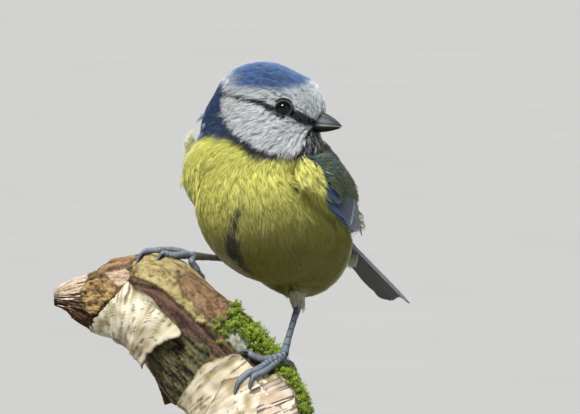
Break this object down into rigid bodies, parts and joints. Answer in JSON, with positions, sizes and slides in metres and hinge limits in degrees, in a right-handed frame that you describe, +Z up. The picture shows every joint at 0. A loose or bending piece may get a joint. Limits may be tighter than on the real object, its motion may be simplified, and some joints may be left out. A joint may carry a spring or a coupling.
{
  "type": "blue tit model on a birch perch",
  "caption": "Still, life-size small perching bird with turned head, gripping a short cut length of birch held by a rod on a flat round base.",
  "frame": {"origin": "centre of the round base's underside", "axes": "+X to the viewer's right in the picture, +Y away from the viewer, +Z up"},
  "size_m": [0.093, 0.1072, 0.1098],
  "materials": {
    "head_plumage": "short soft feathers, pale with a blue cap",
    "collar_plumage": "short soft feathers, blue-black",
    "body_plumage": "loose soft feathers, yellow with a green back",
    "thigh_plumage": "loose soft feathers, pale",
    "wing_feathers": "smooth flight feathers, blue",
    "tail_feathers": "smooth tail feathers, blue above and grey below",
    "eye": "glossy, near black",
    "bill": "smooth horn, dark grey",
    "leg_skin": "scaled skin, blue-grey",
    "birch": "raw bark with bare wood and moss",
    "stand_wood": "satin varnish, dark",
    "stand_steel": "brushed"
  },
  "bodies": {
    "root": {"head": "head_plumage", "neck": "collar_plumage", "torso": "body_plumage", "thigh_left": "thigh_plumage", "thigh_right": "thigh_plumage", "wing_left": "wing_feathers", "wing_right": "wing_feathers", "tail": "tail_feathers", "eye_left": "eye", "eye_right": "eye", "bill_upper": "bill", "bill_lower": "bill", "leg_left": "leg_skin", "leg_right": "leg_skin", "perch": "birch", "stand_base": "stand_wood", "stand_rod": "stand_steel"}
  },
  "joints": []
}
